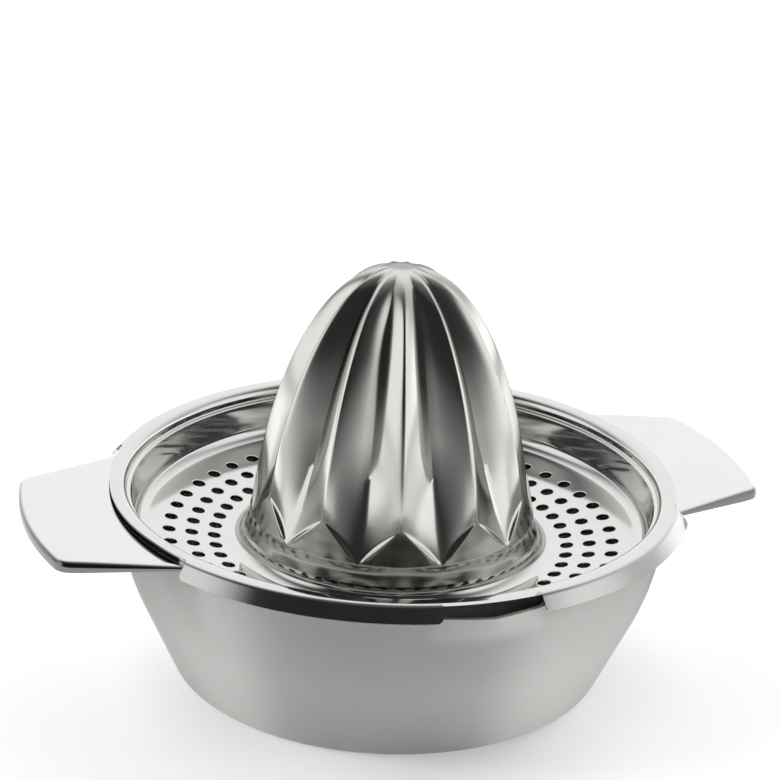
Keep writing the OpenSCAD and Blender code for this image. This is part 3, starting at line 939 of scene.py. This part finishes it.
        columns = {}
        for j, a in enumerate(moved):
            d = from_end(a)
            if d < -1e-6:
                continue
            c = s.skirt_corner_r
            cut = c - math.sqrt(max(0.0, c * c - max(0.0, c - d) ** 2))
            upper = [top[-1][j]] + sheet.add(
                [on_circle(p.x, a, p.y)
                 for p in (along(skirt, (edge - cut) * k / lines) for k in range(1, lines + 1))])
            under = [low[-1][j]] + sheet.add(
                [on_circle(p.x, a, p.y)
                 for p in (along(skirt_under, (edge_under - cut) * k / lines) for k in range(1, lines + 1))])
            columns[j] = (upper, under, abs(d) < 1e-6)
        for j in range(total):
            k = (j + 1) % total
            if j in columns and k in columns and not (columns[j][2] and columns[k][2]):
                sheet.weave([columns[j][0], columns[k][0]])
                sheet.weave([columns[j][1], columns[k][1]])
                sheet.weave([[columns[j][0][-1], columns[j][1][-1]], [columns[k][0][-1], columns[k][1][-1]]])
            else:
                sheet.faces.append((top[-1][j], top[-1][k], low[-1][k], low[-1][j]))
        for upper, under, at_end in columns.values():
            if at_end:
                sheet.weave([upper, under])
        return sheet.mesh("strainer_rim")


class JUICER_OT_reamer(bpy.types.Operator):
    """Draws the reamer cone from one flute, repeated round the axis"""

    bl_idname = "juicer.reamer"
    bl_label = "Reamer cone"

    ogive_p = 1.5
    ogive_q = 0.45
    fade_p = 5
    fade_q = 0.6
    half_columns = 16
    collar_rows = 14
    point_rows = 26
    fluted_rows = 54
    row_crowding = 1.55

    def execute(self, context):
        s = context.scene.juicer_reamer
        material = finish_of("mirror_steel")
        outer, inner = self.face(s, 0.0), self.face(s, s.sheet)
        sheet = Sheet()
        top = sheet.grid(outer)
        low = sheet.grid(inner)
        sheet.weave([top[0], low[0]])
        tile = sheet.mesh("reamer_flute")
        mesh = repeat_round(tile, s.flutes, s.turn - math.pi / 2, material, 4e-6)
        clean(mesh, 4e-6, math.radians(50))
        obj = new_object("reamer_sheet", mesh, material)
        put_on(obj, "strainer", "reamer_steel", "reamer_cone")
        return {"FINISHED"}

    def face(self, s, d):
        """Rows of one flute's points on the face that lies d inside the cone."""
        flute_z = s.top - s.cone_h
        pitch = math.pi / s.flutes
        h0, r0 = s.cone_h - d, s.cone_r - d
        span = h0 / (1 - (s.tip_r / s.cone_r) ** (1 / self.ogive_q)) ** (1 / self.ogive_p)
        n = self.half_columns

        def spread(wide):
            """Columns over half a flute, closer together at its edge."""
            b = min(max(wide, 0.12), 0.94)
            inside = int(0.7 * n)
            cols = [b * (1 - (1 - k / inside) ** 1.6) for k in range(inside)]
            cols += [b + (1 - b) * k / (n - inside) for k in range(n - inside + 1)]
            return cols

        def soft(x, e):
            return (math.sqrt(x * x + e * e) - e) / (math.sqrt(1 + e * e) - e)

        def dip(h, off):
            """Depth of the flute at height h and the share off of its half width."""
            if h <= 0 or off >= h / s.point_h:
                return 0.0
            rise = math.sin(math.pi / 2 * min(1.0, h / s.rise_h))
            fade = max(0.0, 1 - (h / h0) ** self.fade_p) ** self.fade_q
            to_ridge = 1 - soft(off, s.groove_soft)
            flank = s.flute_depth * rise * fade * soft(to_ridge, s.ridge_soft)
            edge = s.edge_drop * (h / s.point_h - off)
            return max(0.0, (flank + edge - math.hypot(flank - edge, s.edge_soft)) / 2)

        def row(r, z, h, wave=0.0):
            cols = spread(h / s.point_h)
            turns = [-c for c in cols[:0:-1]] + cols
            return [on_circle(r - dip(h, abs(c)) - wave * math.cos(math.pi * c), c * pitch, z) for c in turns]

        rows = []
        lines = self.collar_rows

        def eased(r, h):
            """The cone's radius r at height h, run into the collar below it."""
            if h >= s.rise_h:
                return r
            b = r0 - h * math.tan(s.collar_flare)
            e = s.collar_ease * min(1 + h / s.collar_h, 1 - h / s.rise_h)
            return (r + b + math.hypot(r - b, e)) / 2

        for i in range(lines + 1):
            t = i / lines
            h = s.collar_h * (t - 1)
            rows.append(row(eased(r0, h), flute_z + h, 0, s.collar_wave * 4 * t * (1 - t)))
        low_h = s.point_h
        heights = [low_h * i / self.point_rows for i in range(1, self.point_rows + 1)]
        lefts = [(1 - i / self.fluted_rows) ** self.row_crowding for i in range(1, self.fluted_rows + 1)]
        heights += [h0 - (h0 - low_h) * left for left in lefts]
        for h in heights:
            r = r0 * (1 - (h / span) ** self.ogive_p) ** self.ogive_q
            rows.append(row(eased(r, h), flute_z + h, h))
        crown = rows[-1]
        for k in (0.7, 0.4, 0.0):
            rows.append([Vector((p.x * k, p.y * k, p.z)) for p in crown])
        return rows


class JUICER_OT_stage(bpy.types.Operator):
    """Sets the floor, the lamps, the surroundings and the camera"""

    bl_idname = "juicer.stage"
    bl_label = "Stage"

    def execute(self, context):
        s = context.scene.juicer_stage
        self.floor(context, s)
        self.surroundings(context, s)
        x, y, z = s.lamp_at
        self.lamp(context, s, "left_lamp", (-x, y, z))
        self.lamp(context, s, "right_lamp", (x, y, z))
        cam = bpy.data.cameras.new("photo_camera")
        cam.sensor_width = 36
        cam.lens = s.lens
        obj = bpy.data.objects.new("photo_camera", cam)
        context.scene.collection.objects.link(obj)
        at, aim = Vector(s.camera_at), Vector(s.camera_aim)
        look = (aim - at).to_track_quat("-Z", "Y").to_matrix().to_4x4()
        obj.matrix_world = Matrix.Translation(at) @ look @ Matrix.Rotation(s.camera_roll, 4, "Z")
        context.scene.camera = obj
        context.scene.view_settings.view_transform = "Standard"
        return {"FINISHED"}

    def floor(self, context, s):
        half = s.floor_size / 2
        corners = [(-half, -half, 0), (half, -half, 0), (half, half, 0), (-half, half, 0)]
        mesh = bpy.data.meshes.new("floor")
        mesh.from_pydata(corners, [], [(0, 1, 2, 3)])
        mat = bpy.data.materials.new("pale_floor")
        mat.use_nodes = True
        f = Finish(mat.node_tree)
        grain = f.noise(f.spot(), 9.0, 2.0)
        base = f.tint(f.between(grain, 0.0, 1.0), scaled(s.floor, 0.995), scaled(s.floor, 1.005))
        shader = f.node("ShaderNodeBsdfPrincipled", None,
                        {"Base Color": base, "Roughness": 0.9, "Specular IOR Level": 0.0})
        white = f.node("ShaderNodeEmission", None, {"Color": (1, 1, 1, 1), "Strength": 1.0})
        seen = f.node("ShaderNodeLightPath", out="Is Camera Ray")
        for ray in ("Is Glossy Ray", "Is Transmission Ray"):
            seen = seen + f.node("ShaderNodeLightPath", out=ray)
        both = f.node("ShaderNodeMixShader", None, {0: s.floor_glow * seen, 1: shader, 2: white})
        f.node("ShaderNodeOutputMaterial", None, {"Surface": both})
        obj = new_object("floor", mesh, mat)

    def surroundings(self, context, s):
        """A studio with a white backdrop, two white panels, a pale horizon and a dark side at the camera."""
        world = bpy.data.worlds.new("studio")
        world.use_nodes = True
        context.scene.world = world
        f = Finish(world.node_tree)
        way = f.node("ShaderNodeTexCoord", out="Generated")
        right, _, up = f.axes(way)
        to_camera = math.atan2(s.camera_at[1], s.camera_at[0])

        def patch(turn, tilt, core, edge):
            """A round patch of the room, even inside core and faded out at edge."""
            return f.ramp(f.towards(way, turn, tilt), math.cos(edge), math.cos(core))

        backdrop = patch(to_camera + s.backdrop_turn, s.backdrop_tilt, s.backdrop_core, s.backdrop_edge)
        front = patch(to_camera, s.front_tilt, s.front_core, s.front_edge)
        horizon = f.ramp(up, math.sin(s.horizon_top), math.sin(s.horizon_core))
        zenith = f.ramp(up, math.sin(s.zenith_edge), math.sin(s.zenith_core))
        rightwards = f.ramp(right, s.right_from, s.right_to)
        room = s.room_light + s.right_light * rightwards + s.horizon_light * horizon
        room = room * (1 - (1 - s.dark_side) * front) + s.zenith_light * zenith
        for turn in (s.panel_left, s.panel_right):
            panel = patch(turn, s.panel_tilt, s.panel_core, s.panel_edge)
            room = room * (1 - panel) + s.panel_light * panel
        strength = room * (1 - backdrop) + s.backdrop_light * backdrop
        shade = f.node("ShaderNodeBackground", None, {"Color": (1, 1, 1, 1), "Strength": strength})
        f.node("ShaderNodeOutputWorld", None, {"Surface": shade})

    def lamp(self, context, s, name, at):
        lamp = bpy.data.lights.new(name, "AREA")
        lamp.shape = "SQUARE"
        lamp.size = s.lamp_size
        lamp.energy = s.lamp_power
        obj = bpy.data.objects.new(name, lamp)
        # The lamp lights the scene and stays out of the steel's reflections.
        obj.visible_glossy = False
        context.scene.collection.objects.link(obj)
        aim = Vector((0, 0, s.lamp_aim_h)) - Vector(at)
        obj.matrix_world = Matrix.Translation(at) @ aim.to_track_quat("-Z", "Y").to_matrix().to_4x4()


class JUICER_PT_panel(bpy.types.Panel):
    """Lists the pieces of the juicer"""

    bl_label = "Citrus juicer"
    bl_idname = "JUICER_PT_panel"
    bl_space_type = "VIEW_3D"
    bl_region_type = "UI"
    bl_category = "Juicer"

    def draw(self, context):
        for step in STEPS:
            self.layout.operator(step.bl_idname)


GROUPS = {
    "juicer_bowl": BowlSizes,
    "juicer_handles": HandleSizes,
    "juicer_strainer": StrainerSizes,
    "juicer_reamer": ReamerSizes,
    "juicer_steel": SteelLook,
    "juicer_stage": StageLook,
}
STEPS = (JUICER_OT_stage, JUICER_OT_bowl, JUICER_OT_handles, JUICER_OT_strainer, JUICER_OT_reamer)


def register():
    for name, group in GROUPS.items():
        bpy.utils.register_class(group)
        setattr(bpy.types.Scene, name, PointerProperty(type=group))
    for cls in (*STEPS, JUICER_PT_panel):
        bpy.utils.register_class(cls)


def unregister():
    for cls in reversed((*STEPS, JUICER_PT_panel)):
        bpy.utils.unregister_class(cls)
    for name, group in reversed(GROUPS.items()):
        delattr(bpy.types.Scene, name)
        bpy.utils.unregister_class(group)


def main():
    register()
    bpy.ops.juicer.stage()
    bpy.ops.juicer.bowl()
    bpy.ops.juicer.handles()
    bpy.ops.juicer.strainer()
    bpy.ops.juicer.reamer()


if __name__ == "__main__":
    main()
